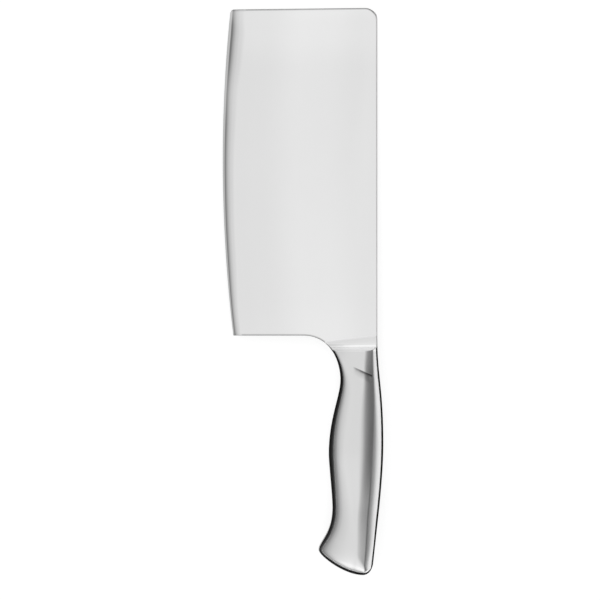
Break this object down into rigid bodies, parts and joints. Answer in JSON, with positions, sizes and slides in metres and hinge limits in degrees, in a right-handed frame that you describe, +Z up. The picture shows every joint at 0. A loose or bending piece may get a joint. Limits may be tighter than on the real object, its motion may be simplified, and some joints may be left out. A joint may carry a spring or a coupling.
{
  "type": "cleaver",
  "caption": "Kitchen cleaver with a broad rectangular blade, a solid bolster and a curved hollow steel handle, for chopping and slicing.",
  "frame": {"origin": "on the surface that the cleaver lies on, under the middle of its outline", "axes": "+X from the cutting edge to the spine, +Y from the butt to the toe, +Z up, out of the left side of the blade"},
  "size_m": [0.0874, 0.3081, 0.019],
  "materials": {
    "blade_steel": "satin stainless steel, finely ground along the blade",
    "handle_steel": "satin stainless steel, smoothly polished along the handle",
    "ground_weld": "stainless weld, ground flush and slightly duller than the sheet",
    "raw_weld": "stainless weld left as it set, inside the handle"
  },
  "bodies": {
    "root": {"blade": "blade_steel", "bolster": "handle_steel", "handle_shell_left": "handle_steel", "handle_shell_right": "handle_steel", "handle_seam_weld": "ground_weld", "bolster_seam_weld": "ground_weld", "tang_weld_left": "raw_weld", "tang_weld_right": "raw_weld"}
  },
  "joints": []
}
